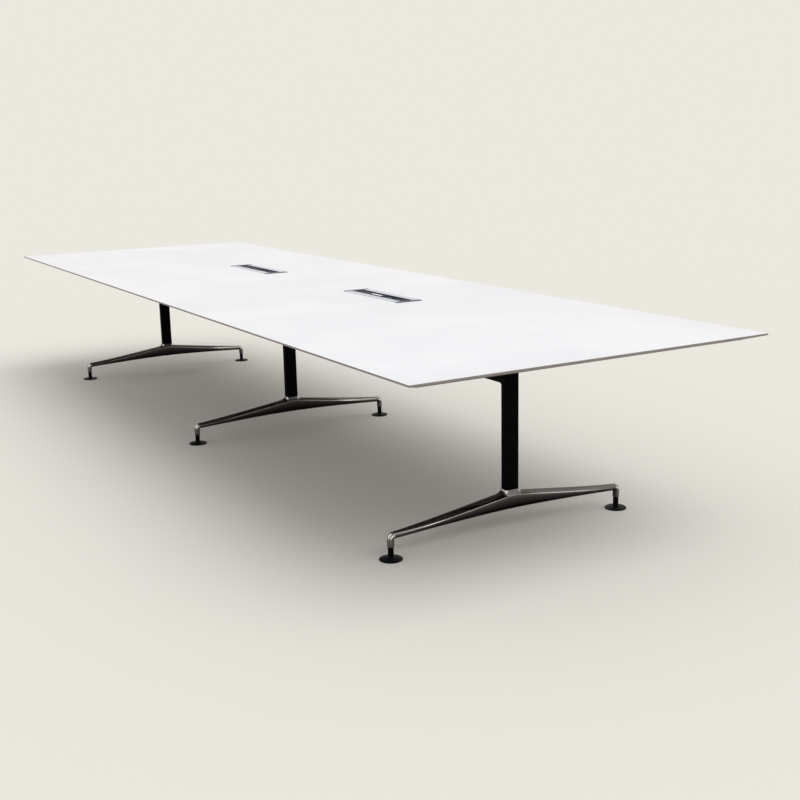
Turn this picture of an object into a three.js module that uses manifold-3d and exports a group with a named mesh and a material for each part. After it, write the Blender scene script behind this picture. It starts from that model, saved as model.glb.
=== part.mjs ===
// Conference table: white top with an undercut edge on three black columns, each standing on a
// polished cast foot with two levelling glides, and two power troughs let into the top.
// Millimetres, +Z up, X along the length. The origin is on the floor under the middle of the top.
import * as THREE from 'three';
import { mergeVertices } from 'three/addons/utils/BufferGeometryUtils.js';
import Module from 'manifold-3d';

const wasm = await Module();
wasm.setup();

// Table top
const topLength = 4800;
const topWidth = 1460;
const tableHeight = 740;
const topThickness = 25;
const edgeLip = 4;
const edgeUndercut = 70;

// Legs
const endOverhang = 520;
const columnDepth = 30;
const columnWidth = 60;
const columnWall = 3;
const columnCorner = 5;
const columnBlock = 40;

// Cast feet
const glideSpan = 1016;
const hubBottom = 92;
const hubCrease = 152;
const hubHalfWidth = 29;
const hubCrown = 8;
const hubEase = 30;
const tubeRadius = 13;
const elbowTop = 101;
const elbowRadius = 14;
const stubBottom = 45;
const stubTaper = 1;
const collarTop = 171;
const collarWall = 3;
const collarSweep = 60;
const socketFloor = 130;

// Levelling glides
const padDiameter = 83;
const padRim = 4;
const padCrown = 9;
const hubDiameter = 20.8;
const hubFillet = 4;
const studDiameter = 10;
const studInHub = 26;
const studInFoot = 36;

// Cross arms under the top
const armLength = 980;
const armWidth = 40;
const armWeb = 4;
const armFlange = 3;
const armDepth = 36;
const armTipDepth = 14;

// Beams between the columns
const beamWidth = 25;
const beamHeight = 100;
const beamWall = 2.5;
const beamDrop = 80;
const beamPlate = 5;
const beamPlateWidth = 54;

// Screws and bolts: shank and head diameters, head heights
const footBolt = { shank: 8, head: 13, headHeight: 8, grip: 50 };
const headBolt = { shank: 10, head: 20, headHeight: 3.6, grip: 30 };
const topScrew = { shank: 5, head: 10, headHeight: 3, grip: 18 };
const beamScrew = { shank: 5, head: 8.5, headHeight: 5, grip: 9 };
const topScrewInset = 60;
const beamScrewSpread = 38;

// Power troughs
const troughPitch = 1380;
const troughOffset = 150;
const troughLength = 500;
const troughWidth = 125;
const troughOpening = 61;
const troughDepth = 62;
const troughWall = 2.5;
const bezelHeight = 2;
const capBorder = 28;
const capWall = 6;
const stripDrop = 3;
const bayLength = 144;
const bayDepth = 14;
const bayGap = 10;
const plateShift = 50;
const plateLength = 92;
const platePocketDepth = 2;
const plateProud = 1.5;
const plateWidth = 18;
const clampLength = 30;
const clampReach = 24;
const clampDrop = 30;
const clampSheet = 3;

// Fits
const seat = 0.3;
const cutoutGap = 2;

// Facet counts
const roundSides = 24;
const screwSides = 10;

const underside = tableHeight - topThickness;
const webUnder = underside - armWeb;
const legPitch = topLength / 2 - endOverhang;
const legPlaces = { left: -legPitch, middle: 0, right: legPitch };
const sides = { front: -1, back: 1 };

function finish(color, roughness, metalness) {
  return new THREE.MeshStandardMaterial({ color, roughness, metalness });
}

const laminate = finish(0xf4f4f3, 0.4, 0);
const blackPaint = finish(0x111111, 0.5, 0.2);
const polished = finish(0x9a9692, 0.12, 1);
const glidePlastic = finish(0x1b1d22, 0.6, 0);
const zinc = finish(0xa7a9ab, 0.35, 1);
const anodised = finish(0xc3c5cb, 0.35, 1);
const darkPlastic = finish(0x3a3b3f, 0.5, 0);
const socketPlastic = finish(0x26282a, 0.5, 0);
const whitePlastic = finish(0xe9e9e8, 0.45, 0);

const table = new THREE.Group();

function piece(name, geometry, material, place = [0, 0, 0]) {
  const mesh = new THREE.Mesh(geometry, material);
  mesh.name = name;
  mesh.position.set(...place);
  table.add(mesh);
  return mesh;
}

// A closed geometry as a solid that can be cut and joined
function solid(geometry) {
  const bare = geometry.clone();
  bare.deleteAttribute('normal');
  bare.deleteAttribute('uv');
  const merged = mergeVertices(bare, 1e-4);
  return new wasm.Manifold(
    new wasm.Mesh({
      numProp: 3,
      vertProperties: new Float32Array(merged.attributes.position.array),
      triVerts: new Uint32Array(merged.index.array),
    }),
  );
}

function geometryOf(body) {
  const mesh = body.getMesh();
  const geometry = new THREE.BufferGeometry();
  geometry.setAttribute('position', new THREE.BufferAttribute(mesh.vertProperties, 3));
  geometry.setIndex(new THREE.BufferAttribute(mesh.triVerts, 1));
  geometry.computeVertexNormals();
  return geometry;
}

function cut(body, ...tools) {
  return tools.reduce((left, tool) => left.subtract(solid(tool)), body);
}

// A skin over closed loops of points that follow each other, with a flat cap on the first and last
function loft(loops) {
  const count = loops[0].length;
  const positions = loops.flat().flatMap((point) => point.toArray());
  const index = [];
  for (let ring = 0; ring + 1 < loops.length; ring += 1) {
    for (let k = 0; k < count; k += 1) {
      const a = ring * count + k;
      const b = ring * count + ((k + 1) % count);
      index.push(a, b, b + count, a, b + count, a + count);
    }
  }
  const last = (loops.length - 1) * count;
  for (let k = 1; k + 1 < count; k += 1) {
    index.push(0, k + 1, k);
    index.push(last, last + k, last + k + 1);
  }
  const geometry = new THREE.BufferGeometry();
  geometry.setAttribute('position', new THREE.Float32BufferAttribute(positions, 3));
  geometry.setIndex(index);
  return geometry;
}

function roundedRectangle(width, height, radius) {
  const x = width / 2 - radius;
  const y = height / 2 - radius;
  const shape = new THREE.Shape();
  shape.absarc(x, y, radius, 0, Math.PI / 2);
  shape.absarc(-x, y, radius, Math.PI / 2, Math.PI);
  shape.absarc(-x, -y, radius, Math.PI, Math.PI * 1.5);
  shape.absarc(x, -y, radius, Math.PI * 1.5, Math.PI * 2);
  shape.closePath();
  return shape;
}

// An outline in X and Y raised from one height to another
function prism(shape, from, to, curveSegments = 4) {
  const geometry = new THREE.ExtrudeGeometry(shape, { depth: to - from, bevelEnabled: false, curveSegments });
  return geometry.translate(0, 0, from);
}

function box(x, y, z, place) {
  return new THREE.BoxGeometry(x, y, z).translate(...place);
}

function outline(points) {
  return new THREE.Shape(points.map(([x, y]) => new THREE.Vector2(x, y)));
}

// A profile of radius and height turned about the Z axis
function turned(profile, sidesRound) {
  const points = profile.map(([radius, height]) => new THREE.Vector2(radius, height));
  return new THREE.LatheGeometry(points, sidesRound).rotateX(Math.PI / 2);
}

function rod(diameter, from, to, sidesRound) {
  return turned([[0, from], [diameter / 2, from], [diameter / 2, to], [0, to]], sidesRound);
}

// Table top: an upright lip over an undercut that runs in to the underside
function topBoard() {
  const rim = (inset, height) => {
    const x = topLength / 2 - inset;
    const y = topWidth / 2 - inset;
    return [[-x, -y], [x, -y], [x, y], [-x, y]].map(([px, py]) => new THREE.Vector3(px, py, height));
  };
  const board = loft([
    rim(edgeUndercut, underside),
    rim(0, tableHeight - edgeLip),
    rim(0, tableHeight),
  ]);
  return solid(board);
}

const cutoutLength = troughLength - 2 * (capBorder - capWall) + 2 * cutoutGap;
const cutoutWidth = troughOpening + 2 * (troughWall + cutoutGap);
const troughPlaces = { left: -troughPitch / 2, right: troughPitch / 2 };
const screwReach = armLength / 2 - topScrewInset;

function buildTop() {
  const cutouts = Object.values(troughPlaces).map((x) =>
    box(cutoutLength, cutoutWidth, 3 * topThickness, [x, troughOffset, tableHeight - topThickness / 2]),
  );
  const pilots = Object.values(legPlaces).flatMap((x) =>
    Object.values(sides).map((side) =>
      rod(topScrew.shank + 2 * seat, underside - 1, webUnder + topScrew.grip + seat, screwSides).translate(
        x,
        side * screwReach,
        0,
      ),
    ),
  );
  piece('table_top', geometryOf(cut(topBoard(), ...cutouts, ...pilots)), laminate);
}

// Column: a rectangular tube with a solid tapped block in each end
const beamMiddle = tableHeight - beamDrop - beamHeight / 2;

function buildColumn(name, x) {
  const tube = solid(prism(roundedRectangle(columnDepth, columnWidth, columnCorner), socketFloor, webUnder));
  const inner = roundedRectangle(columnDepth - 2 * columnWall, columnWidth - 2 * columnWall, columnCorner - columnWall);
  const hollow = prism(inner, socketFloor + columnBlock, webUnder - columnBlock, 2);
  const bottomTap = rod(footBolt.shank + 2 * seat, socketFloor - 1, socketFloor + columnBlock + 1, screwSides);
  const topTap = rod(headBolt.shank + 2 * seat, webUnder - columnBlock - 1, webUnder + 1, screwSides);
  const faces = [x > -legPitch ? -1 : 0, x < legPitch ? 1 : 0].filter((face) => face !== 0);
  const beamTaps = faces.flatMap((face) =>
    Object.values(sides).map((side) =>
      rod(beamScrew.shank + 2 * seat, columnDepth / 2 - columnWall - 1, columnDepth / 2 + 1, screwSides)
        .rotateY((face * Math.PI) / 2)
        .translate(0, (side * beamScrewSpread) / 2, beamMiddle),
    ),
  );
  piece(`column_${name}`, geometryOf(cut(tube, hollow, bottomTap, topTap, ...beamTaps)), blackPaint, [x, 0, 0]);
}

// Section of a foot arm, across the way that it runs: a hull below a crease on each side and a
// crowned top above it. The top is an arch near the hub and fills out to half a circle at the elbow.
// Beside the column a share of the arch gives way to the collar, a flat rim on a hollow flare.
const hullSteps = 10;
const crownSteps = 8;
const collarEdge = Math.SQRT1_2;

function armSection({ halfWidth, crease, crown, depth, fullness, collar = 0 }) {
  const points = [];
  for (let k = 0; k <= hullSteps; k += 1) {
    const angle = (k / hullSteps) * Math.PI;
    points.push([halfWidth * Math.cos(angle), crease - depth * Math.sin(angle)]);
  }
  for (let k = 1; k < crownSteps; k += 1) {
    const across = -Math.cos((k / crownSteps) * Math.PI);
    const arch = crown * (1 - across * across) ** fullness;
    const flare = (1 - Math.max(Math.abs(across), collarEdge)) / (1 - collarEdge);
    points.push([halfWidth * across, crease + mix(arch, (collarTop - crease) * flare ** 1.8, collar)]);
  }
  return points;
}

function tubeSection(radius) {
  return armSection({ halfWidth: radius, crease: 0, crown: radius, depth: radius, fullness: 0.5 });
}

const glideReach = glideSpan / 2;
const elbowStart = glideReach - elbowRadius;
const tubeCentre = elbowTop - tubeRadius;
const collarEnd = columnWidth / 2 + collarWall;
const sweepParts = [0, 0.06, 0.15, 0.28, 0.45, 0.7, 1];
const armSteps = 8;
const elbowSteps = 6;

function mix(a, b, t) {
  return a + (b - a) * t;
}

// Distances of the arm's sections from the middle of the foot, close together beside the collar
function armPlaces() {
  const sweepEnd = collarEnd + collarSweep;
  const hubPlaces = [0, 0.35, 0.7].map((part) => part * collarEnd);
  const places = [...hubPlaces, ...sweepParts.map((part) => collarEnd + part * collarSweep)];
  for (let k = 1; k <= armSteps; k += 1) {
    places.push(mix(sweepEnd, elbowStart, k / armSteps));
  }
  return places;
}

// How far along the arm a place is, from nought to one, eased so that the two arms meet in a curve
function alongArm(place) {
  const eased = (distance) => Math.hypot(distance, hubEase) - hubEase;
  return eased(place) / eased(elbowStart);
}

// One half of the foot from its middle out to the foot of the stub, as loops of points.
// The collar keeps its full height round the column, then sweeps down to the arm in a hollow curve.
function footHalf(side) {
  const loops = armPlaces().map((place) => {
    const t = alongArm(place);
    const crease = mix(tubeCentre, hubCrease, (1 - t) ** 1.15);
    const bottom = mix(hubBottom, tubeCentre - tubeRadius, t ** 1.6);
    const swept = Math.min(Math.max((place - collarEnd) / collarSweep, 0), 1);
    const section = armSection({
      halfWidth: mix(hubHalfWidth, tubeRadius, t * t),
      crease,
      crown: mix(hubCrown, tubeRadius, t),
      depth: crease - bottom,
      fullness: mix(1, 0.5, t ** 3),
      collar: (1 - swept) ** 6,
    });
    return section.map(([u, v]) => new THREE.Vector3(u, side * place, v));
  });
  const bend = (angle, radius, drop) =>
    tubeSection(radius).map(([u, v]) => {
      const y = elbowStart + (elbowRadius + v) * Math.sin(angle);
      const z = tubeCentre - elbowRadius + (elbowRadius + v) * Math.cos(angle) - drop;
      return new THREE.Vector3(u, side * y, z);
    });
  for (let k = 1; k <= elbowSteps; k += 1) {
    loops.push(bend((k / elbowSteps) * (Math.PI / 2), tubeRadius, 0));
  }
  const stubLength = tubeCentre - elbowRadius - stubBottom;
  loops.push(bend(Math.PI / 2, tubeRadius - stubTaper, stubLength));
  return loops;
}

function buildFoot(name, x) {
  const front = footHalf(-1);
  const back = footHalf(1);
  const body = solid(loft([...front.reverse(), ...back.slice(1)]));
  const socketShape = roundedRectangle(columnDepth + 2 * seat, columnWidth + 2 * seat, columnCorner + seat);
  const socket = prism(socketShape, socketFloor, collarTop + 1);
  const boltHole = rod(footBolt.shank + 2 * seat, hubBottom - 20, socketFloor + 1, screwSides);
  const counterbore = rod(footBolt.head + 2 * seat, hubBottom - 20, hubBottom + footBolt.headHeight, screwSides * 2);
  const bores = Object.values(sides).map((side) =>
    rod(studDiameter + 2 * seat, stubBottom - 1, stubBottom + studInFoot + seat, screwSides).translate(
      0,
      side * glideReach,
      0,
    ),
  );
  piece(`foot_${name}`, geometryOf(cut(body, socket, boltHole, counterbore, ...bores)), polished, [x, 0, 0]);
}

// A cylinder-head bolt pointing up, its head's bearing face at the given height
function capBolt({ shank, head, headHeight, grip }, bearing) {
  return turned(
    [
      [0, bearing - headHeight],
      [head / 2, bearing - headHeight],
      [head / 2, bearing],
      [shank / 2, bearing],
      [shank / 2, bearing + grip],
      [0, bearing + grip],
    ],
    screwSides,
  );
}

// A countersunk bolt pointing down, flush with the web that it holds
function countersunk({ shank, head, headHeight, grip }, flush, ease) {
  return turned(
    [
      [0, flush - grip - ease],
      [shank / 2 + ease, flush - grip - ease],
      [shank / 2 + ease, flush - headHeight],
      [head / 2 + ease, flush],
      [head / 2 + ease, flush + ease],
      [0, flush + ease],
    ],
    screwSides,
  );
}

// Cross arm: an inverted channel, deep over the column and shallow at its tips
function buildCrossArm(name, x) {
  const half = armLength / 2;
  const side = outline([
    [-half, underside],
    [-half, underside - armTipDepth],
    [-columnWidth, underside - armDepth],
    [columnWidth, underside - armDepth],
    [half, underside - armTipDepth],
    [half, underside],
  ]);
  const upright = (geometry) => geometry.rotateX(Math.PI / 2).rotateZ(Math.PI / 2);
  const full = upright(prism(side, -armWidth / 2, armWidth / 2));
  const hollowWidth = armWidth - 2 * armFlange;
  const hollow = box(hollowWidth, armLength + 2, armDepth, [0, 0, webUnder - armDepth / 2]);
  const boltHole = countersunk(headBolt, underside, seat);
  const screwHoles = Object.values(sides).map((place) =>
    rod(topScrew.shank + 2 * seat, webUnder - 1, underside + 1, screwSides).translate(0, place * screwReach, 0),
  );
  piece(`cross_arm_${name}`, geometryOf(cut(solid(full), hollow, boltHole, ...screwHoles)), blackPaint, [x, 0, 0]);
}

function buildLegScrews(name, x) {
  piece(`foot_bolt_${name}`, capBolt(footBolt, hubBottom + footBolt.headHeight - seat), zinc, [x, 0, 0]);
  piece(`head_bolt_${name}`, countersunk(headBolt, underside, 0), zinc, [x, 0, 0]);
  for (const [end, side] of Object.entries(sides)) {
    piece(`top_screw_${name}_${end}`, capBolt(topScrew, webUnder - seat), zinc, [x, side * screwReach, 0]);
  }
}

// Levelling glide: a moulded disc with a sleeve up to the stub, on a threaded stud in the foot
function buildGlides(name, x) {
  const radius = padDiameter / 2;
  const sleeve = hubDiameter / 2;
  const sleeveTop = stubBottom - seat;
  const studFoot = stubBottom - studInHub;
  const padProfile = [
    [0, 0],
    [radius - 1, 0],
    [radius, 1],
    [radius, padRim],
    [radius - 2, padRim + 1],
    [sleeve + hubFillet, padCrown],
    [sleeve, padCrown + hubFillet],
    [sleeve, sleeveTop],
    [studDiameter / 2 + seat, sleeveTop],
    [studDiameter / 2 + seat, studFoot - seat],
    [0, studFoot - seat],
  ];
  const studTop = stubBottom + studInFoot;
  const studProfile = [
    [0, studFoot],
    [studDiameter / 2, studFoot],
    [studDiameter / 2, studTop - 2],
    [studDiameter / 2 - 2, studTop],
    [0, studTop],
  ];
  for (const [end, side] of Object.entries(sides)) {
    const place = [x, side * glideReach, 0];
    piece(`glide_pad_${name}_${end}`, turned(padProfile, roundSides), glidePlastic, place);
    piece(`glide_stud_${name}_${end}`, turned(studProfile, screwSides), zinc, place);
  }
}

// Beam: a rectangular tube with an open end plate welded on each end, screwed to two columns
function buildBeam(name, from, to) {
  const start = from + columnDepth / 2;
  const end = to - columnDepth / 2;
  const length = end - start;
  const middle = [(start + end) / 2, 0, beamMiddle];
  let body = solid(box(length, beamWidth, beamHeight, middle));
  for (const x of [start + beamPlate / 2, end - beamPlate / 2]) {
    body = body.add(solid(box(beamPlate, beamPlateWidth, beamHeight, [x, 0, beamMiddle])));
  }
  const hollow = box(length + 2, beamWidth - 2 * beamWall, beamHeight - 2 * beamWall, middle);
  const ends = { inner: { x: start, turn: 1 }, outer: { x: end, turn: -1 } };
  const holes = [];
  for (const [label, { x, turn }] of Object.entries(ends)) {
    for (const [place, side] of Object.entries(sides)) {
      const y = (side * beamScrewSpread) / 2;
      const bearing = beamPlate + seat;
      const shank = rod(beamScrew.shank + 2 * seat, -1, beamPlate + 1, screwSides);
      holes.push(shank.rotateY((turn * Math.PI) / 2).translate(x, y, beamMiddle));
      const screw = capBolt({ ...beamScrew, grip: bearing + beamScrew.grip }, -bearing);
      const turnIn = screw.rotateY((-turn * Math.PI) / 2);
      piece(`beam_screw_${name}_${label}_${place}`, turnIn, zinc, [x, y, beamMiddle]);
    }
  }
  piece(`beam_${name}`, geometryOf(cut(body, hollow, ...holes)), blackPaint);
}

// Power trough: an extruded channel with wide rims, closed by two moulded end caps
const railLength = troughLength - 2 * capBorder;
const openHalf = troughOpening / 2;
const wallOuter = openHalf + troughWall;
const bezelTop = tableHeight + bezelHeight;
const troughFloor = tableHeight - troughDepth;

function alongX(shape, length) {
  const geometry = prism(shape, -length / 2, length / 2);
  return geometry.rotateX(Math.PI / 2).rotateZ(Math.PI / 2);
}

function buildTrough(name, x) {
  const place = [x, troughOffset, 0];
  const rim = troughWidth / 2;
  const section = outline([
    [-rim, tableHeight],
    [-wallOuter, tableHeight],
    [-wallOuter, troughFloor],
    [wallOuter, troughFloor],
    [wallOuter, tableHeight],
    [rim, tableHeight],
    [rim, bezelTop],
    [openHalf, bezelTop],
    [openHalf, troughFloor + troughWall],
    [-openHalf, troughFloor + troughWall],
    [-openHalf, bezelTop],
    [-rim, bezelTop],
  ]);
  piece(`trough_${name}`, alongX(section, railLength), anodised, place);
  for (const [end, side] of Object.entries({ left: -1, right: 1 })) {
    const inner = railLength / 2 + seat;
    const plateMiddle = (inner + troughLength / 2) / 2;
    const plate = box(troughLength / 2 - inner, troughWidth, bezelHeight, [
      side * plateMiddle,
      0,
      tableHeight + bezelHeight / 2,
    ]);
    const wallHeight = bezelTop - troughFloor;
    const wall = box(capWall, 2 * wallOuter, wallHeight, [
      side * (inner + capWall / 2),
      0,
      troughFloor + wallHeight / 2,
    ]);
    piece(`trough_cap_${name}_${end}`, geometryOf(solid(plate).add(solid(wall))), darkPlastic, place);
  }
  buildSockets(name, place);
  buildClamps(name, place);
}

// Socket strip on the trough's floor, with a bay across it for plugs and a pocket for the data plate
function buildSockets(name, place) {
  const face = tableHeight - stripDrop;
  const base = troughFloor + troughWall;
  const stripLength = railLength - 2 * seat;
  const stripWidth = troughOpening - 2 * seat;
  const strip = solid(box(stripLength, stripWidth, face - base, [0, 0, (face + base) / 2]));
  const bayX = -plateShift + plateLength / 2 + bayGap + bayLength / 2;
  const bay = box(bayLength, troughOpening, 2 * bayDepth, [bayX, 0, face]);
  const pocket = box(plateLength + 2 * seat, plateWidth + 2 * seat, 2 * platePocketDepth, [-plateShift, 0, face]);
  piece(`socket_strip_${name}`, geometryOf(cut(strip, pocket, bay)), socketPlastic, place);
  const plateBase = face - platePocketDepth;
  const plateHeight = platePocketDepth + plateProud;
  const plate = box(plateLength, plateWidth, plateHeight, [-plateShift, 0, plateBase + plateHeight / 2]);
  piece(`data_plate_${name}`, plate, whitePlastic, place);
}

// Clamps on the trough's long walls, bearing on the underside of the top
function buildClamps(name, place) {
  const hook = underside - seat;
  for (const [end, side] of Object.entries(sides)) {
    const inner = wallOuter + seat;
    const section = outline([
      [side * inner, hook - clampDrop],
      [side * (inner + clampSheet), hook - clampDrop],
      [side * (inner + clampSheet), hook - clampSheet],
      [side * (inner + clampReach), hook - clampSheet],
      [side * (inner + clampReach), hook],
      [side * inner, hook],
    ]);
    piece(`trough_clamp_${name}_${end}`, alongX(section, clampLength), zinc, place);
  }
}

buildTop();
for (const [name, x] of Object.entries(legPlaces)) {
  buildColumn(name, x);
  buildFoot(name, x);
  buildCrossArm(name, x);
  buildLegScrews(name, x);
  buildGlides(name, x);
}
buildBeam('left', legPlaces.left, legPlaces.middle);
buildBeam('right', legPlaces.middle, legPlaces.right);
for (const [name, x] of Object.entries(troughPlaces)) {
  buildTrough(name, x);
}

export default table;
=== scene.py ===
import math

import bpy
import numpy as np
from mathutils import Matrix, Vector


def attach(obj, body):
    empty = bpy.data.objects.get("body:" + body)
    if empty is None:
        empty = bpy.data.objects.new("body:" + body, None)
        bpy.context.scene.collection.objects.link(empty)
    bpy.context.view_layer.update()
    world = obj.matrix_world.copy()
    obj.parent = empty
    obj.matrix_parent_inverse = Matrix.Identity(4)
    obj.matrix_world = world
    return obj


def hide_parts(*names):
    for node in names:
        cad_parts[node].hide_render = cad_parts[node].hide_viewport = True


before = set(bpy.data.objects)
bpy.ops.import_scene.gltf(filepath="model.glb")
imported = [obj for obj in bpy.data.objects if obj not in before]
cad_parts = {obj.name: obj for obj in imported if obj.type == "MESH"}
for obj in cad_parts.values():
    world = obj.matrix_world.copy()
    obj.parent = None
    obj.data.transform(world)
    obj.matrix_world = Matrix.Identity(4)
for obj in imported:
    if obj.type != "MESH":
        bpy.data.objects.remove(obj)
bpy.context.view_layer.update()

# All lengths are in metres. X runs along the table, Z is up.
legPlaces = {"left": -1.88, "middle": 0.0, "right": 1.88}
sides = {"front": -1.0, "back": 1.0}
ends = {"left": -1, "right": 1}
paleGround = (0.831, 0.806, 0.745)  # the floor, and the room where the camera or polished metal sees it


# Camera: the photo's view, from its focal length in pixels of an 800 pixel frame
photoView = {
    "focal": 1143.01, "frame": 800.0, "sensor": 36.0, "farClip": 200.0,
    "yaw": 1.04441, "pitch": 0.22603, "roll": -0.02147,
    "place": (5.14901, -2.35736, 1.43298),
}


def makeCamera():
    yaw, pitch, roll = photoView["yaw"], photoView["pitch"], photoView["roll"]
    back = Vector((math.sin(yaw) * math.cos(pitch), -math.cos(yaw) * math.cos(pitch), math.sin(pitch)))
    right = (-back).cross(Vector((0, 0, 1))).normalized()
    up = right.cross(-back)
    turnedRight = math.cos(roll) * right + math.sin(roll) * up
    turnedUp = -math.sin(roll) * right + math.cos(roll) * up
    data = bpy.data.cameras.new("photoCamera")
    data.sensor_width = photoView["sensor"]
    data.lens = photoView["focal"] * photoView["sensor"] / photoView["frame"]
    data.clip_end = photoView["farClip"]
    camera = bpy.data.objects.new("photoCamera", data)
    camera.matrix_world = Matrix((
        (turnedRight.x, turnedUp.x, back.x, photoView["place"][0]),
        (turnedRight.y, turnedUp.y, back.y, photoView["place"][1]),
        (turnedRight.z, turnedUp.z, back.z, photoView["place"][2]),
        (0, 0, 0, 1),
    ))
    bpy.context.scene.collection.objects.link(camera)
    bpy.context.scene.camera = camera
    bpy.context.scene.view_settings.view_transform = "Standard"


makeCamera()
print("camera done")


# Light: an even pale room, and a broad soft sun from above the near end. Together they come to one
# on the floor.
roomLight = {"color": (1.0, 1.0, 1.0), "strength": 0.66}
softSun = {"from": (0.5, 0.25, 1.0), "share": 0.34, "angle": 57.0}


def makeLight():
    world = bpy.data.worlds.new("room")
    bpy.context.scene.world = world
    world.use_nodes = True
    nodes, links = world.node_tree.nodes, world.node_tree.links
    nodes.clear()
    out = nodes.new("ShaderNodeOutputWorld")
    lit = nodes.new("ShaderNodeBackground")
    lit.inputs["Color"].default_value = (*roomLight["color"], 1)
    lit.inputs["Strength"].default_value = roomLight["strength"]
    seen = nodes.new("ShaderNodeBackground")
    seen.inputs["Color"].default_value = (*paleGround, 1)
    path = nodes.new("ShaderNodeLightPath")
    either = nodes.new("ShaderNodeMath")
    either.operation = "MAXIMUM"
    links.new(path.outputs["Is Camera Ray"], either.inputs[0])
    links.new(path.outputs["Is Glossy Ray"], either.inputs[1])
    pick = nodes.new("ShaderNodeMixShader")
    links.new(either.outputs[0], pick.inputs["Fac"])
    links.new(lit.outputs[0], pick.inputs[1])
    links.new(seen.outputs[0], pick.inputs[2])
    links.new(pick.outputs[0], out.inputs["Surface"])
    data = bpy.data.lights.new("softSun", "SUN")
    height = Vector(softSun["from"]).normalized().z
    data.energy = softSun["share"] * math.pi / height
    data.angle = math.radians(softSun["angle"])
    lamp = bpy.data.objects.new("softSun", data)
    lamp.rotation_euler = (-Vector(softSun["from"])).to_track_quat("-Z", "Y").to_euler()
    bpy.context.scene.collection.objects.link(lamp)


makeLight()
print("light done")


# Materials are node trees on Object coordinates, which are metres in the table's own frame
def newMaterial(name, gloss=0.5, metallic=0.0):
    material = bpy.data.materials.new(name)
    material.use_nodes = True
    shader = material.node_tree.nodes["Principled BSDF"]
    shader.inputs["Specular IOR Level"].default_value = gloss
    shader.inputs["Metallic"].default_value = metallic
    return material, shader


def noiseOn(material, scale, detail=3.0, stretch=(1.0, 1.0, 1.0)):
    nodes, links = material.node_tree.nodes, material.node_tree.links
    place = nodes.new("ShaderNodeTexCoord")
    mapping = nodes.new("ShaderNodeMapping")
    mapping.inputs["Scale"].default_value = stretch
    noise = nodes.new("ShaderNodeTexNoise")
    noise.inputs["Scale"].default_value = scale
    noise.inputs["Detail"].default_value = detail
    links.new(place.outputs["Object"], mapping.inputs["Vector"])
    links.new(mapping.outputs["Vector"], noise.inputs["Vector"])
    return noise


def varyColor(material, shader, noise, dark, light, span=(0.35, 0.65)):
    nodes, links = material.node_tree.nodes, material.node_tree.links
    ramp = nodes.new("ShaderNodeValToRGB")
    for element, position, color in zip(ramp.color_ramp.elements, span, (dark, light)):
        element.position = position
        element.color = (*color, 1)
    links.new(noise.outputs["Fac"], ramp.inputs["Fac"])
    links.new(ramp.outputs["Color"], shader.inputs["Base Color"])
    return ramp


def varyRoughness(material, shader, noise, low, high, span=(0.3, 0.7)):
    nodes, links = material.node_tree.nodes, material.node_tree.links
    spread = nodes.new("ShaderNodeMapRange")
    spread.inputs["From Min"].default_value = span[0]
    spread.inputs["From Max"].default_value = span[1]
    spread.inputs["To Min"].default_value = low
    spread.inputs["To Max"].default_value = high
    links.new(noise.outputs["Fac"], spread.inputs["Value"])
    links.new(spread.outputs["Result"], shader.inputs["Roughness"])


def addBump(material, shader, noise, strength, distance):
    nodes, links = material.node_tree.nodes, material.node_tree.links
    bump = nodes.new("ShaderNodeBump")
    bump.inputs["Strength"].default_value = strength
    bump.inputs["Distance"].default_value = distance
    links.new(noise.outputs["Fac"], bump.inputs["Height"])
    links.new(bump.outputs["Normal"], shader.inputs["Normal"])


def makeLaminate():
    material, shader = newMaterial("whiteLaminate", gloss=0.25)
    cloud = noiseOn(material, scale=2.2, detail=2.0)
    varyColor(material, shader, cloud, dark=(0.884, 0.887, 0.926), light=(0.938, 0.941, 0.976))
    grain = noiseOn(material, scale=1400.0, detail=2.0)
    varyRoughness(material, shader, grain, low=0.32, high=0.42)
    addBump(material, shader, grain, strength=0.06, distance=0.0004)
    return material


def makeEdgeBand(name, dark, light):
    material, shader = newMaterial(name, gloss=0.25)
    streak = noiseOn(material, scale=40.0, detail=4.0, stretch=(1.0, 1.0, 30.0))
    varyColor(material, shader, streak, dark, light)
    varyRoughness(material, shader, streak, low=0.4, high=0.55)
    return material


def makeBacking():
    material, shader = newMaterial("backingSheet")
    shader.inputs["Roughness"].default_value = 0.6
    cloud = noiseOn(material, scale=300.0, detail=3.0)
    varyColor(material, shader, cloud, dark=(0.18, 0.18, 0.185), light=(0.22, 0.22, 0.22))
    addBump(material, shader, cloud, strength=0.1, distance=0.0003)
    return material


def makePowderCoat():
    material, shader = newMaterial("blackPowderCoat", gloss=0.025)
    grain = noiseOn(material, scale=1800.0, detail=2.0)
    varyColor(material, shader, grain, dark=(0.0009, 0.0009, 0.001), light=(0.002, 0.002, 0.0019))
    varyRoughness(material, shader, grain, low=0.48, high=0.62)
    addBump(material, shader, grain, strength=0.25, distance=0.00025)
    return material


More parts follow.
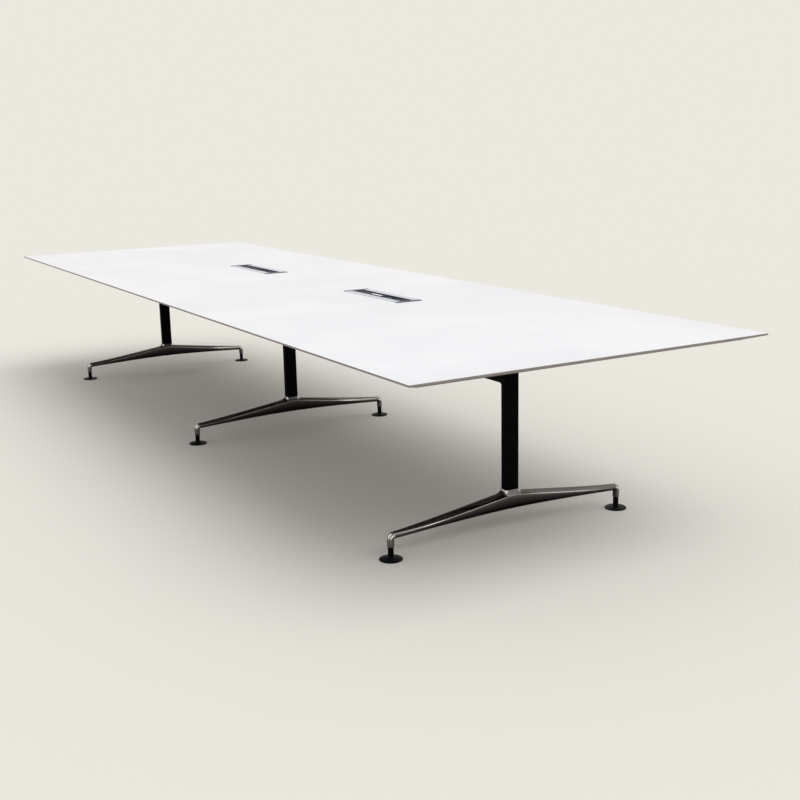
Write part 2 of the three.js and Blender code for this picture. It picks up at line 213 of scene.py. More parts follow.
# The casting's light and shade are painted: the mesh carries an attribute of painted highlights along its
# creases and in glints, and of painted shade towards the keel, which scales the metal's tint
def makePolished():
    material, shader = newMaterial("polishedCast", metallic=1.0)
    shader.inputs["Specular Tint"].default_value = (0.44, 0.41, 0.405, 1)
    haze = noiseOn(material, scale=22.0, detail=4.0)
    tint = varyColor(material, shader, haze, dark=(0.93, 0.872, 0.868), light=(1.0, 0.955, 0.955))
    nodes, links = material.node_tree.nodes, material.node_tree.links
    paintedSheenNode = nodes.new("ShaderNodeAttribute")
    paintedSheenNode.attribute_name = "paintedSheen"
    scaled = nodes.new("ShaderNodeVectorMath")
    scaled.operation = "SCALE"
    links.new(tint.outputs["Color"], scaled.inputs[0])
    links.new(paintedSheenNode.outputs["Fac"], scaled.inputs["Scale"])
    links.new(scaled.outputs["Vector"], shader.inputs["Base Color"])
    streak = noiseOn(material, scale=260.0, detail=3.0, stretch=(3.0, 0.25, 3.0))
    varyRoughness(material, shader, streak, low=0.1, high=0.2)
    return material


def makeGlidePlastic():
    material, shader = newMaterial("glidePlastic", gloss=0.07)
    grain = noiseOn(material, scale=2200.0, detail=2.0)
    varyColor(material, shader, grain, dark=(0.0032, 0.0036, 0.0054), light=(0.0056, 0.0062, 0.0086))
    varyRoughness(material, shader, grain, low=0.42, high=0.56)
    addBump(material, shader, grain, strength=0.2, distance=0.0002)
    return material


def makeZinc():
    material, shader = newMaterial("zincPlate", metallic=1.0)
    spangle = noiseOn(material, scale=320.0, detail=3.0)
    varyColor(material, shader, spangle, dark=(0.42, 0.42, 0.43), light=(0.58, 0.58, 0.57))
    varyRoughness(material, shader, spangle, low=0.28, high=0.45)
    return material


def makeAnodised():
    material, shader = newMaterial("satinAnodised", metallic=0.4)
    brushed = noiseOn(material, scale=900.0, detail=3.0, stretch=(0.02, 1.0, 1.0))
    varyColor(material, shader, brushed, dark=(0.61, 0.64, 0.75), light=(0.7, 0.73, 0.83))
    varyRoughness(material, shader, brushed, low=0.25, high=0.42)
    addBump(material, shader, brushed, strength=0.08, distance=0.0002)
    return material


def makePlastic(name, dark, light, roughness=(0.4, 0.55), gloss=0.12):
    material, shader = newMaterial(name, gloss)
    grain = noiseOn(material, scale=1500.0, detail=2.0)
    varyColor(material, shader, grain, dark, light)
    varyRoughness(material, shader, grain, *roughness)
    addBump(material, shader, grain, strength=0.12, distance=0.0002)
    return material


laminate = makeLaminate()
# The grey-brown edge band in two copies: the lip's, and a darker one on the undercut and the cut-out walls,
# whose extra darkness is painted shade
lipBand = makeEdgeBand("lipBand", (0.21, 0.187, 0.177), (0.28, 0.252, 0.239))
shadedEdgeBand = makeEdgeBand("shadedEdgeBand", (0.138, 0.115, 0.107), (0.198, 0.167, 0.156))
backing = makeBacking()
powderCoat = makePowderCoat()
polished = makePolished()
glidePlastic = makeGlidePlastic()
zinc = makeZinc()
anodised = makeAnodised()
darkPlastic = makePlastic("darkPlastic", (0.028, 0.03, 0.046), (0.044, 0.047, 0.072), roughness=(0.38, 0.5))
capPlastic = makePlastic("capPlastic", (0.1, 0.102, 0.13), (0.128, 0.131, 0.164), roughness=(0.38, 0.5))
stripPlastic = makePlastic("stripPlastic", (0.028, 0.031, 0.053), (0.046, 0.05, 0.08))
socketPlastic = makePlastic("socketPlastic", (0.125, 0.134, 0.168), (0.165, 0.176, 0.213))
greyPlastic = makePlastic("greyPlastic", (0.09, 0.096, 0.112), (0.13, 0.137, 0.157))
whitePlastic = makePlastic("whitePlastic", (0.78, 0.785, 0.83), (0.85, 0.855, 0.89),
                           roughness=(0.3, 0.42), gloss=0.3)
print("materials done")


# Six times the volume between the origin and a flat loop, as a fan of triangles from its first point
def fanVolume(loop):
    return np.sum(loop[0] * np.cross(loop[1:-1], loop[2:]))


# A closed shell over a grid of points: quads from each loop to the next, and a lid at either end.
# Its volume comes out negative where the faces point inwards, and they are then turned round.
def skin(loops):
    loops = np.asarray(loops, dtype=float)
    rows, count = loops.shape[:2]
    grid = np.arange(rows * count).reshape(rows, count)
    beside = np.roll(grid, -1, axis=1)
    quads = np.stack([grid[:-1], beside[:-1], beside[1:], grid[1:]], axis=2).reshape(-1, 4)
    points = loops.reshape(-1, 3)
    a, b, c, d = points[quads.T]
    volume = np.sum(a * (np.cross(b, c) + np.cross(c, d)))
    volume += fanVolume(loops[0][::-1]) + fanVolume(loops[-1])
    faces = quads.tolist() + [grid[0][::-1].tolist(), grid[-1].tolist()]
    return points, faces if volume > 0 else [face[::-1] for face in faces]


def joinMeshes(parts):
    points, faces, start = [], [], 0
    for partPoints, partFaces in parts:
        points.append(partPoints)
        faces.extend([index + start for index in face] for face in partFaces)
        start += len(partPoints)
    return np.concatenate(points), faces


def addPiece(name, mesh, materials, body, nodes=(), sharp=35.0, picks=None, paintedSheen=None):
    points, faces = mesh
    data = bpy.data.meshes.new(name)
    data.from_pydata(points.tolist(), [], faces)
    for material in materials:
        data.materials.append(material)
    if picks is not None:
        data.polygons.foreach_set("material_index", np.asarray(picks, dtype=np.int32))
    # An attribute of painted highlights and painted shade, per point, for the polished metal to read
    if paintedSheen is not None:
        layer = data.attributes.new("paintedSheen", "FLOAT", "POINT")
        layer.data.foreach_set("value", np.asarray(paintedSheen, dtype=np.float32))
    data.polygons.foreach_set("use_smooth", np.ones(len(data.polygons), dtype=bool))
    data.set_sharp_from_angle(angle=math.radians(sharp))
    data.update()
    piece = bpy.data.objects.new(name, data)
    bpy.context.scene.collection.objects.link(piece)
    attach(piece, body)
    if nodes:
        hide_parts(*nodes)


def mix(a, b, t):
    return a + (b - a) * t


# A full turn as four quarters of equal steps, each with both its ends: the quarter, and the angle
def quarterTurns(steps):
    quarter = np.repeat(np.arange(4), steps + 1)
    angle = (quarter + np.tile(np.arange(steps + 1) / steps, 4)) * math.pi / 2
    return quarter, angle


# A rounded rectangle in X and Y: quarter circles of the given radius at its four corners
def roundedLoop(width, depth, radius, height, steps, centre):
    quarter, angle = quarterTurns(steps)
    signX = np.array((1, -1, -1, 1))[quarter]
    signY = np.array((1, 1, -1, -1))[quarter]
    x = centre[0] + signX * (width / 2 - radius) + radius * np.cos(angle)
    y = centre[1] + signY * (depth / 2 - radius) + radius * np.sin(angle)
    return np.stack([x, y, np.full_like(x, height)], axis=1)


# A block of rounded rectangles, one on the other. Each layer gives what its size lacks of the full
# size, its height above the base and the radius of its corners.
def blockMesh(size, layers, base, steps, centre):
    return skin([
        roundedLoop(size[0] - less, size[1] - less, corner, base + rise, steps, centre)
        for less, rise, corner in layers
    ])


# Rings about an upright axis: the radius times the cosine and the sine of the angle
def ringPoints(centre, radius, height, angle):
    radius, height, angle = np.broadcast_arrays(radius, height, angle)
    x = centre[0] + radius * np.cos(angle)
    y = centre[1] + radius * np.sin(angle)
    return np.stack([x, y, height], axis=-1)


# A profile of radius and height turned about an upright axis
def turnedMesh(profile, centre, count):
    radius, height = np.asarray(profile).T[:, :, None]
    return skin(ringPoints(centre, radius, height, np.arange(count) / count * 2 * math.pi))


# Table top: a sheet with two cut-outs, a softened arris, an upright lip and an undercut edge
board = {
    "length": 4.8, "width": 1.46, "top": 0.74, "thick": 0.025, "lip": 0.0065, "undercut": 0.06,
    "arris": 0.0008, "arrisShare": 0.3, "lipEase": (0.0003, 0.0004), "underEase": (0.0005, 0.0008),
    "cutLength": 0.46, "cutWidth": 0.07, "cutX": 0.69, "cutY": 0.15, "sharp": 20.0,
}


# The upper and the lower sheet are the same grid of lines in X and Y, in which the cut-outs are the
# second and the fourth cell of the middle row. Loops round the rim, each with its inset, its height
# and the finish below it, join them, and so do the walls of the cut-outs.
def makeTop():
    b = board
    halfX, halfY = b["length"] / 2, b["width"] / 2
    halfCutX, halfCutY = b["cutLength"] / 2, b["cutWidth"] / 2
    cutLines = [place + side * halfCutX for place in (-b["cutX"], b["cutX"]) for side in (-1, 1)]
    lineX = np.array([-halfX, *cutLines, halfX])
    lineY = np.array([-halfY, b["cutY"] - halfCutY, b["cutY"] + halfCutY, halfY])
    gridX, gridY = np.meshgrid(lineX, lineY, indexing="ij")
    index = np.arange(gridX.size).reshape(gridX.shape)
    ring = np.concatenate([index[:, 0], index[-1, 1:], index[-2::-1, -1], index[0, -2:0:-1]])

    def sheet(inset, height):
        x = np.where(np.abs(gridX) == halfX, np.sign(gridX) * (halfX - inset), gridX)
        y = np.where(np.abs(gridY) == halfY, np.sign(gridY) * (halfY - inset), gridY)
        return np.stack([x, y, np.full_like(x, height)], axis=2).reshape(-1, 3)

    finishes = [laminate, lipBand, shadedEdgeBand, backing]
    onTop, onLip, onEdge, onBacking = range(len(finishes))
    top, under, arris, share = b["top"], b["top"] - b["thick"], b["arris"], b["arrisShare"]
    lipEnd = top - b["lip"]
    rims = [
        (arris, top, onLip),
        (arris * share, top - arris * share, onLip),
        (0.0, top - arris, onLip),
        (0.0, lipEnd + b["lipEase"][1], onLip),
        (b["lipEase"][0], lipEnd, onEdge),
        (b["undercut"] - b["underEase"][0], under + b["underEase"][1], onEdge),
        (b["undercut"], under, onBacking),
    ]
    sheets = [sheet(*rims[0][:2]), sheet(*rims[-1][:2])]
    points = np.concatenate(sheets + [sheet(*rim[:2])[ring] for rim in rims[1:-1]])
    below = index.size
    between = 2 * below + np.arange((len(rims) - 2) * len(ring)).reshape(-1, len(ring))
    loops = np.concatenate([ring[None], between, ring[None] + below])
    beside = np.roll(loops, -1, axis=1)
    bands = np.stack([loops[:-1], loops[1:], beside[1:], beside[:-1]], axis=2).reshape(-1, 4)
    quads = np.stack([index[:-1, :-1], index[1:, :-1], index[1:, 1:], index[:-1, 1:]], axis=2)
    isCut = np.zeros(quads.shape[:2], dtype=bool)
    isCut[[1, 3], 1] = True
    corners = quads[isCut]
    following = np.roll(corners, -1, axis=1)
    walls = np.stack([following, following + below, corners + below, corners], axis=2).reshape(-1, 4)
    plain = quads[~isCut]
    faces = np.concatenate([plain, plain[:, ::-1] + below, bands, walls])
    picks = np.repeat(
        [onTop, rims[-1][2], *(rim[2] for rim in rims[:-1]), onEdge],
        [len(plain), len(plain), *[len(ring)] * (len(rims) - 1), len(walls)],
    )
    addPiece("top_board", (points, faces.tolist()), finishes, "table", ["table_top"],
             b["sharp"], picks)


makeTop()
print("top done")


# Columns: flat tubes with rounded upright edges
column = {"depth": 0.03, "width": 0.06, "corner": 0.005, "steps": 8, "bottom": 0.13, "top": 0.711}


def makeColumns():
    size = (column["depth"], column["width"])
    layers = [(0.0, column["bottom"], column["corner"]), (0.0, column["top"], column["corner"])]
    for name, x in legPlaces.items():
        tube = blockMesh(size, layers, 0.0, column["steps"], (x, 0.0))
        addPiece(f"column_tube_{name}", tube, [powderCoat], "table", [f"column_{name}"])


makeColumns()
print("columns done")


# Cast feet: a hull below a crease on each side and a crowned top, eased at the hub, with a collar
# that sweeps up round the column, a tight elbow and a stub bored for the glide's stud
foot = {
    "reach": 0.508, "hubBottom": 0.092, "hubCrease": 0.152, "hubHalf": 0.029, "hubCrown": 0.008,
    "hubEase": 0.03, "creasePower": 1.15, "keelPower": 1.6, "archPower": 3, "archFrom": 1.0, "archTo": 0.5,
    "tube": 0.013, "elbowTop": 0.101, "elbowRadius": 0.014,
    "stubBottom": 0.045, "stubTaper": 0.001, "stubRound": 0.0008, "bore": 0.0053, "boreTop": 0.0813,
    "collarTop": 0.171, "collarEnd": 0.0312, "collarSweep": 0.06, "collarHalf": 0.0205,
    "collarCorner": 0.007, "collarPower": 10, "collarLimit": 0.9,
    "flarePower": 1.8, "flareLimit": 2, "rimEase": 0.25, "sweepPower": 1.6,
    "hullSteps": 40, "hullCrowding": 0.4, "crownSteps": 56,
    "hubSteps": 15, "sweepSteps": 25, "armSteps": 40, "elbowSteps": 17, "sharp": 60.0,
}
# Painted light and shade on the casting. Painted shade by depth below the crease: on the hull, darker
# towards the keel, and round the stub to its inner side. Then on the crown, and a painted highlight along
# the creases from hub to elbow.
# Painted glints lie on the collar's corners, and in two strokes on each side of the elbow, each from one
# turn above the crease to another.
paintedLight = {
    "hullDepth": (0.0, 0.12, 0.3, 0.5, 0.65, 0.8, 1.0),
    "hull": (0.2, 0.115, 0.066, 0.042, 0.024, 0.013, 0.009),
    "stubDepth": (0.0, 0.5, 1.0), "stub": (0.2, 0.09, 0.04),
    "crown": 0.19, "creaseWidth": 0.0024,
    "creaseAlong": (0.0, 0.3, 0.62, 0.8, 1.0), "crease": (0.7, 0.98, 0.98, 0.3, 0.12),
    "glint": 0.98, "strokes": ((0.0, 0.55), (1.0, 1.25)), "strokeWidth": 0.34, "strokeCore": 1.6,
    "cornerWidth": 0.007, "cornerPart": 3, "rimLevel": 0.75, "rimSpread": 0.25, "rimCore": 1.5,
}


# The angles of a section's lower half, crowded towards the creases, and the distances of its upper half
# across from the middle, as a share of the half width
def sectionSteps():
    u = np.linspace(0, 1, foot["hullSteps"] + 1)
    hull = math.pi * u - foot["hullCrowding"] * np.sin(2 * math.pi * u)
    across = -np.cos(np.linspace(0, math.pi, foot["crownSteps"] + 1)[1:-1])
    return hull, across


# How far the collar rises above the crease: fully as far out as its edge, falling from there in a
# hollow flare, with its rim eased by a smooth minimum of the two
def collarLevel(across, edge):
    ease = foot["rimEase"]
    flare = np.clip((1 - np.abs(across)) / (1 - edge), 0, foot["flareLimit"]) ** foot["flarePower"]
    blend = np.clip(0.5 + 0.5 * (1 - flare) / ease, 0, 1)
    return mix(1.0, flare, blend) - ease * blend * (1 - blend)


# Lower half: half an ellipse under the crease. Upper half: the given rise above it.
def sectionPoints(hull, across, half, crease, depth, top):
    lower = np.stack([half * np.cos(hull), crease - depth * np.sin(hull)], axis=1)
    upper = np.stack([half * across, crease + top], axis=1)
    return np.concatenate([lower, upper])


# Painted light and shade round one section: painted shade on the bare metal, the painted highlight of the
# crease, the stub past the bend, the elbow's painted glint strokes, the rim's painted glint
def sectionPaintedSheen(hull, across, half, depth, along, bend, rimShare):
    b = paintedLight
    sink = np.sin(hull)
    width = b["creaseWidth"] * min(half / foot["hubHalf"], 1)
    fromCrease = np.concatenate([depth * sink, half * (1 - np.abs(across))])
    creaseShare = np.clip(1 - fromCrease / width, 0, 1)
    crown = np.full(len(across), b["crown"])
    paintedSheen = np.concatenate([np.interp(sink, b["hullDepth"], b["hull"]), crown])
    paintedSheen = mix(paintedSheen, np.interp(along, b["creaseAlong"], b["crease"]), creaseShare)
    outer = np.full(len(across), b["stub"][0])
    paintedSheen = mix(paintedSheen, np.concatenate([np.interp(sink, b["stubDepth"], b["stub"]), outer]), bend)
    turn = np.concatenate([-np.arcsin(sink), np.arccos(np.abs(across))])
    for start, end in b["strokes"]:
        away = np.abs(turn - mix(start, end, bend)) / b["strokeWidth"]
        stroke = np.clip(b["strokeCore"] * (1 - away), 0, 1) * math.sin(math.pi * bend)
        paintedSheen = mix(paintedSheen, b["glint"], stroke)
    return mix(paintedSheen, b["glint"], np.concatenate([np.zeros(len(hull)), rimShare]))


# One arm from the hub outwards: sections along Y to the elbow, then rings round the bend and down the stub.
# A section's upper half is an arch, one minus the square of the distance across, to a power that goes
# from one to a half. A share of it gives way to the collar.
def footLoops(x, side):
    f = foot
    hull, across = sectionSteps()
    centre = f["elbowTop"] - f["tube"]
    start = f["reach"] - f["elbowRadius"]
    corner, ease = f["collarCorner"], f["hubEase"]
    places = np.concatenate([
        f["collarEnd"] * np.sin(np.linspace(0, math.pi / 2, f["hubSteps"]))[:-1],
        f["collarEnd"] + f["collarSweep"] * np.linspace(0, 1, f["sweepSteps"])[:-1] ** f["sweepPower"],
        np.linspace(f["collarEnd"] + f["collarSweep"], start, f["armSteps"]),
    ])
    loops, paintedSheens = [], []
    for place in places:
        t = (math.hypot(place, ease) - ease) / (math.hypot(start, ease) - ease)
        crease = mix(centre, f["hubCrease"], (1 - t) ** f["creasePower"])
        depth = crease - mix(f["hubBottom"], centre - f["tube"], t ** f["keelPower"])
        half = mix(f["hubHalf"], f["tube"], t * t)
        power = mix(f["archFrom"], f["archTo"], t ** f["archPower"])
        arch = mix(f["hubCrown"], f["tube"], t) * (1 - across**2) ** power
        past = min(max(place - f["collarEnd"] + corner, 0), corner)
        edge = (f["collarHalf"] - corner + math.sqrt(corner**2 - past**2)) / half
        level = collarLevel(across, min(edge, f["collarLimit"]))
        swept = min(max((place - f["collarEnd"]) / f["collarSweep"], 0), 1)
        top = mix(arch, (f["collarTop"] - crease) * level, (1 - swept) ** f["collarPower"])
        section = sectionPoints(hull, across, half, crease, depth, top)
        y = np.full(len(section), side * place)
        loops.append(np.stack([x + section[:, 0], y, section[:, 1]], axis=1))
        # A painted glint on the collar's corner, then the section's painted light and shade
        fromCorner = abs(place - f["collarEnd"] + corner / paintedLight["cornerPart"])
        glint = max(1 - fromCorner / paintedLight["cornerWidth"], 0)
        fromRim = np.abs(level - paintedLight["rimLevel"]) / paintedLight["rimSpread"]
        rimShare = glint * np.clip(paintedLight["rimCore"] - fromRim, 0, 1)
        paintedSheens.append(sectionPaintedSheen(hull, across, half, depth, t, 0.0, rimShare))

    def addRing(radius, angle, drop):
        section = sectionPoints(hull, across, radius, 0.0, radius, radius * np.sqrt(1 - across**2))
        reach = f["elbowRadius"] + section[:, 1]
        y = start + reach * math.sin(angle)
        z = centre - f["elbowRadius"] + reach * math.cos(angle) - drop
        loops.append(np.stack([x + section[:, 0], side * y, z], axis=1))
        bend = angle / (math.pi / 2)
        # The ring's painted light and shade, with the elbow's painted glint strokes
        paintedSheens.append(sectionPaintedSheen(hull, across, radius, radius, 1.0, bend, np.zeros(len(across))))

    upright = math.pi / 2
    for angle in np.linspace(0, upright, f["elbowSteps"])[1:]:
        addRing(f["tube"], angle, 0.0)
    length = centre - f["elbowRadius"] - f["stubBottom"]
    tip = f["tube"] - f["stubTaper"]
    addRing(mix(f["tube"], tip, 0.5), upright, length / 2)
    addRing(tip, upright, length - f["stubRound"])
    addRing(tip - f["stubRound"], upright, length)
    addRing(f["bore"], upright, length)
    addRing(f["bore"], upright, length - (f["boreTop"] - f["stubBottom"]))
    return loops, paintedSheens


def makeFeet():
    for name, x in legPlaces.items():
        front, frontPaintedSheen = footLoops(x, sides["front"])
        back, backPaintedSheen = footLoops(x, sides["back"])
        # The painted highlights and painted shade, point by point in the loops' order
        paintedSheen = np.concatenate(frontPaintedSheen[::-1] + backPaintedSheen[1:])
        addPiece(f"foot_cast_{name}", skin(front[::-1] + back[1:]), [polished], "table",
                 [f"foot_{name}"], foot["sharp"], paintedSheen=paintedSheen)


makeFeet()
print("feet done")


# Glides: a low cone with a rounded rim and a sleeve, and a stud with a rolled thread
glide = {
    "radius": 0.0415, "rim": 0.004, "crown": 0.009, "sleeve": 0.0104, "top": 0.0447, "axis": 0.0002,
    "lowRound": 0.0015, "highRound": 0.002, "fillet": 0.004, "sleeveRound": 0.0006, "play": 0.0003,
    "roundSteps": 7, "coneSteps": 9, "count": 64, "sleeveFrom": 0.0045,
    "stud": 0.005, "studFoot": 0.019, "studTop": 0.081, "pitch": 0.0015, "thread": 0.0008,
    "tipLength": 0.002, "tipTaper": 0.0015, "threadRows": 160, "threadCount": 20, "threadSharp": 80.0,
}


# The pad's profile from the axis out along the floor, round the rim, up the cone, through a hollow
# quarter circle to the sleeve, and down inside it to the stud's foot
def padProfile():
    g = glide
    r, rim, crown, sleeve, top = g["radius"], g["rim"], g["crown"], g["sleeve"], g["top"]
    low, high, fillet, soft = g["lowRound"], g["highRound"], g["fillet"], g["sleeveRound"]
    hole, seat = g["stud"] + g["play"], g["studFoot"] - g["play"]
    quarter = np.linspace(0, math.pi / 2, g["roundSteps"])[1:]
    rise, run = np.sin(quarter), np.cos(quarter)
    part = np.linspace(0, 1, g["coneSteps"])[1:]
    curves = [
        (r - low + low * rise, low * (1 - run)),
        (r - high + high * run, rim - high / 2 + high * rise),
        (mix(r - high, sleeve + fillet, part), mix(rim + high / 2, crown, part)),
        (sleeve + fillet * (1 - rise), crown + fillet * (1 - run)),
    ]
    return np.concatenate([
        [(g["axis"], 0.0), (r - low, 0.0)],
        *(np.stack(curve, axis=1) for curve in curves),
        [(sleeve, top - soft), (sleeve - soft, top), (hole, top), (hole, seat), (g["axis"], seat)],
    ])


# The sleeve is painted, the pad below it is bare plastic
def padPicks(profile):
    height = profile[:, 1]
    bands = np.repeat(np.maximum(height[:-1], height[1:]), glide["count"])
    return np.concatenate([bands, height[[0, -1]]]) > glide["crown"] + glide["sleeveFrom"]


# The thread's radius falls in a zigzag as height and angle go round together, and tapers at the tip
def studMesh(centre):
    g = glide
    height = np.linspace(g["studFoot"], g["studTop"], g["threadRows"])[:, None]
    turns = np.arange(g["threadCount"]) / g["threadCount"]
    phase = (height / g["pitch"] - turns) % 1.0
    tip = np.minimum((g["studTop"] - height) / g["tipLength"], 1.0)
    radius = g["stud"] - g["thread"] * np.abs(2 * phase - 1) - g["tipTaper"] * (1 - tip)
    return skin(ringPoints(centre, radius, height, turns * 2 * math.pi))


def makeGlides():
    profile = padProfile()
    for name, x in legPlaces.items():
        for end, side in sides.items():
            centre = (x, side * foot["reach"])
            body = f"glide_{name}_{end}"
            addPiece(f"pad_{name}_{end}", turnedMesh(profile, centre, glide["count"]),
                     [glidePlastic, powderCoat], body, [f"glide_pad_{name}_{end}"],
                     picks=padPicks(profile))
            addPiece(f"stud_{name}_{end}", studMesh(centre), [zinc], body,
                     [f"glide_stud_{name}_{end}"], glide["threadSharp"])


makeGlides()
print("glides done")


# Power troughs: a channel with softened rims, end caps, and a strip with a bay for the sockets
trough = {
    "x": 0.69, "y": 0.15, "rail": 0.444, "rim": 0.0625, "open": 0.0305, "wall": 0.0025,
    "base": 0.678, "seat": 0.74, "top": 0.742, "soft": 0.0007, "softShare": 0.3,
    "capInner": 0.2223, "capOuter": 0.25, "capWall": 0.006, "capCorner": 0.0018, "capTopCorner": 0.0015,
    "capSteps": 4, "wallCorner": 0.001, "wallSteps": 3, "wallOverlap": 0.001,
    "stripFace": 0.737, "stripHalf": 0.0302, "stripEnd": 0.2217, "stripCorner": 0.001, "stripSoft": 0.0006,
    "bayX": 0.078, "bayLength": 0.144, "bayWidth": 0.058, "bayFloor": 0.723, "bayCorner": 0.002,
    "bayFlare": 0.001, "bayFlareCorner": 0.0025, "stripSteps": 5, "sharp": 30.0,
}


# The channel's section in Y and Z, mirrored about its middle and drawn straight along X
def railMesh(x):
    t = trough
    rim, inner, outer, top = t["rim"], t["open"], t["open"] + t["wall"], t["top"]
    soft, part = t["soft"], t["soft"] * t["softShare"]
    half = np.array([
        (inner, t["base"] + t["wall"]), (inner, top - soft), (inner + part, top - part), (inner + soft, top),
        (rim - soft, top), (rim - part, top - part), (rim, top - soft), (rim, t["seat"]),
        (outer, t["seat"]), (outer, t["base"]),
    ])
    y, z = np.concatenate([half, half[::-1] * (-1, 1)]).T
    tips = [np.full_like(y, x + end * t["rail"] / 2) for end in (-1, 1)]
    return skin([np.stack([tip, t["y"] + y, z], axis=1) for tip in tips])


# The channel is dark inside and its rims are pale. Of the section's sides the first and the last but
# one are the inner walls and the last is the floor. Two lids come after them.
def railPicks():
    sideCount, lidCount = 20, 2
    inside = [0, sideCount - 2, sideCount - 1]
    return np.isin(np.arange(sideCount + lidCount), inside)


# A plate on the board, and a wall down into the channel's end
def capMesh(x, end):
    t = trough
    soft, part = t["soft"], t["soft"] * t["softShare"]
    layers = (
        (0.0, t["seat"] - t["top"], t["capCorner"]), (0.0, -soft, t["capCorner"]),
        (2 * part, -part, t["capCorner"]), (2 * soft, 0.0, t["capTopCorner"]),
    )
    centre = (x + end * (t["capInner"] + t["capOuter"]) / 2, t["y"])
    size = (t["capOuter"] - t["capInner"], 2 * t["rim"])
    wallLayers = [(0.0, z, t["wallCorner"]) for z in (t["base"], t["seat"] + t["wallOverlap"])]
    wallCentre = (x + end * (t["capInner"] + t["capWall"] / 2), t["y"])
    wallSize = (t["capWall"], 2 * (t["open"] + t["wall"]))
    return joinMeshes([
        blockMesh(size, layers, t["top"], t["capSteps"], centre),
        blockMesh(wallSize, wallLayers, 0.0, t["wallSteps"], wallCentre),
    ])


# The strip and its bay: rounded loops run up the outside, in to the bay and down to its floor
def stripMesh(x):
    t = trough
    face, soft, steps = t["stripFace"], t["stripSoft"], t["stripSteps"]
    whole, place = (x, t["y"]), (x + t["bayX"], t["y"])
    length, width = 2 * t["stripEnd"], 2 * t["stripHalf"]
    bayLength, bayWidth, flare = t["bayLength"], t["bayWidth"], t["bayFlare"]
    return skin([
        roundedLoop(length, width, t["stripCorner"], t["base"] + t["wall"], steps, whole),
        roundedLoop(length, width, t["stripCorner"], face - soft, steps, whole),
        roundedLoop(length - 2 * soft, width - 2 * soft, t["stripCorner"], face, steps, whole),
        roundedLoop(bayLength + flare, bayWidth + flare, t["bayFlareCorner"], face, steps, place),
        roundedLoop(bayLength, bayWidth, t["bayCorner"], face - soft, steps, place),
        roundedLoop(bayLength, bayWidth, t["bayCorner"], t["bayFloor"], steps, place),
    ])


# Sockets in the bay: square modules, each with a round well, two pin holes and two earth springs.
# Pin holes are profiles of radius and height, springs are paths of reach, rise and half width.
socket = {
    "spacing": 0.07, "size": 0.042, "corner": 0.003, "lift": 0.0001, "sunk": 0.002,
    "bevel": (0.0008, 0.0007), "steps": 12, "well": 0.0188, "wellSoft": 0.0006,
    "wellFoot": 0.0176, "wellFloor": 0.0012, "cornerTurn": 0.02,
    "pinSpacing": 0.019, "pinBase": 0.0013, "pinCount": 20,
    "pinProfile": (
        (0.0034, 0.0), (0.0034, 0.0009), (0.0031, 0.0012),
        (0.0026, 0.0012), (0.0024, 0.0009), (0.0024, 0.0001),
    ),
    "springPath": (
        (0.0171, 0.0018, 0.004), (0.0166, 0.0045, 0.0036),
        (0.0160, 0.0078, 0.003), (0.0166, 0.0106, 0.0024),
    ),
    "springThick": 0.0006, "springSharp": 40.0,
}


# Loops change from a rounded square to a circle of as many points
def socketMesh(centre):
    s, steps = socket, socket["steps"]
    floor, face = trough["bayFloor"], trough["stripFace"] - socket["sunk"]
    eased = s["size"] - s["bevel"][0]
    squares = [(s["size"], floor + s["lift"]), (s["size"], face - s["bevel"][1]), (eased, face)]
    loops = [roundedLoop(size, size, s["corner"], z, steps, centre) for size, z in squares]
    angle = quarterTurns(steps)[1] + np.tile(np.linspace(s["cornerTurn"], -s["cornerTurn"], steps + 1), 4)
    radius = np.array([s["well"], s["well"] - s["wellSoft"], s["wellFoot"]])[:, None]
    height = np.array([face, face - s["wellSoft"], floor + s["wellFloor"]])[:, None]
    return skin([*loops, *ringPoints(centre, radius, height, angle)])


# A low ring round each hole, turned from its profile
def pinMesh(centre):
    profile = np.array(socket["pinProfile"]) + (0.0, trough["bayFloor"] + socket["pinBase"])
    return turnedMesh(profile, centre, socket["pinCount"])


# A thin bent strip on the well's wall, wider at the foot: a rectangle carried up along its path
def springMesh(centre, side):
    reach, rise, half = np.array(socket["springPath"]).T[:, :, None]
    x = centre[0] + half * (-1, 1, 1, -1)
    y = centre[1] + side * (reach + socket["springThick"] * np.array((0, 0, 1, 1)))
    return skin(np.stack([x, y, np.broadcast_to(trough["bayFloor"] + rise, x.shape)], axis=2))


# Beside the bay a plate, and a flap along its far side, in layers as in blockMesh
plate = {
    "x": -0.05, "size": (0.092, 0.018), "top": 0.7385, "steps": 6,
    "layers": ((0.0, -0.0035, 0.002), (0.0, -0.0007, 0.002), (0.0014, 0.0, 0.002)),
    "flapSize": (0.088, 0.0145), "flapY": 0.0032,
    "flapLayers": (
        (0.0, -0.0004, 0.0025), (0.0, 0.0006, 0.0025),
        (0.0004, 0.001, 0.0024), (0.0014, 0.0012, 0.002),
    ),
}


def plateMesh(x):
    centre = (x + plate["x"], trough["y"])
    return blockMesh(plate["size"], plate["layers"], plate["top"], plate["steps"], centre)


def flapMesh(x):
    centre = (x + plate["x"], trough["y"] + plate["flapY"])
    return blockMesh(plate["flapSize"], plate["flapLayers"], plate["top"], plate["steps"], centre)


# Ribs near the strip's end, each a low bar with a rounded back
rib = {
    "first": -0.182, "pitch": 0.0062, "count": 5, "size": (0.0034, 0.03), "steps": 4,
    "layers": ((0.0, -0.0004, 0.0015), (0.0, 0.0012, 0.0015), (0.0012, 0.0018, 0.001)),
}


def ribsMesh(x):
    places = x + rib["first"] + rib["pitch"] * np.arange(rib["count"])
    return joinMeshes([
        blockMesh(rib["size"], rib["layers"], trough["stripFace"], rib["steps"], (place, trough["y"]))
        for place in places
    ])


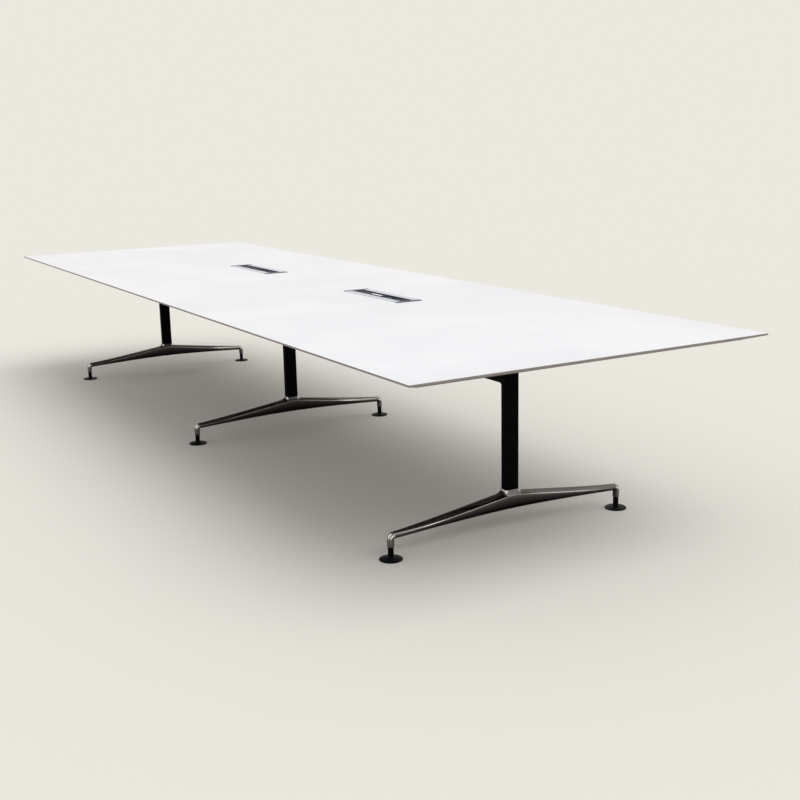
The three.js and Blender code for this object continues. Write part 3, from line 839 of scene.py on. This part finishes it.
def makeTroughs():
    sharp = trough["sharp"]
    for name, sign in ends.items():
        x = sign * trough["x"]
        addPiece(f"rail_{name}", railMesh(x), [anodised, darkPlastic], "table",
                 [f"trough_{name}"], sharp, railPicks())
        for end, place in ends.items():
            addPiece(f"cap_{name}_{end}", capMesh(x, place), [capPlastic], "table",
                     [f"trough_cap_{name}_{end}"], sharp)
        addPiece(f"strip_{name}", stripMesh(x), [stripPlastic], "table",
                 [f"socket_strip_{name}"], sharp)
        middles = [(x + trough["bayX"] + side * socket["spacing"] / 2, trough["y"]) for side in (-1, 1)]
        modules = joinMeshes([socketMesh(middle) for middle in middles])
        addPiece(f"sockets_{name}", modules, [socketPlastic], "table", (), sharp)
        holes = [(px + side * socket["pinSpacing"] / 2, py) for px, py in middles for side in (-1, 1)]
        pins = joinMeshes([pinMesh(hole) for hole in holes])
        addPiece(f"pin_holes_{name}", pins, [darkPlastic], "table", (), sharp)
        springs = joinMeshes([springMesh(middle, side) for middle in middles for side in (-1, 1)])
        addPiece(f"earth_springs_{name}", springs, [zinc], "table", (), socket["springSharp"])
        addPiece(f"plate_{name}", plateMesh(x), [stripPlastic], "table",
                 [f"data_plate_{name}"], sharp)
        flapFinish = whitePlastic if name == "right" else darkPlastic
        addPiece(f"flap_{name}", flapMesh(x), [flapFinish], "table", (), sharp)
        addPiece(f"ribs_{name}", ribsMesh(x), [greyPlastic], "table", (), sharp)


makeTroughs()
print("troughs done")


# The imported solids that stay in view: beams and cross arms are painted, fasteners are plated
def finishSolids():
    for name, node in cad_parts.items():
        painted = name.startswith(("beam_left", "beam_right", "cross_arm"))
        for materialSlot in node.material_slots:
            materialSlot.link = "OBJECT"
            materialSlot.material = powderCoat if painted else zinc


finishSolids()
print("solids done")


# Floor: a wide pale plane under the glides
floorPlane = {"half": 60.0, "roughness": 0.9}


def makeFloor():
    material, shader = newMaterial("paleFloor", gloss=0.0)
    shader.inputs["Base Color"].default_value = (*paleGround, 1)
    shader.inputs["Roughness"].default_value = floorPlane["roughness"]
    half = floorPlane["half"]
    corners = [(-half, -half, 0), (half, -half, 0), (half, half, 0), (-half, half, 0)]
    data = bpy.data.meshes.new("floor")
    data.from_pydata(corners, [], [(0, 1, 2, 3)])
    data.materials.append(material)
    floor = bpy.data.objects.new("floor", data)
    bpy.context.scene.collection.objects.link(floor)


makeFloor()
print("stage done")
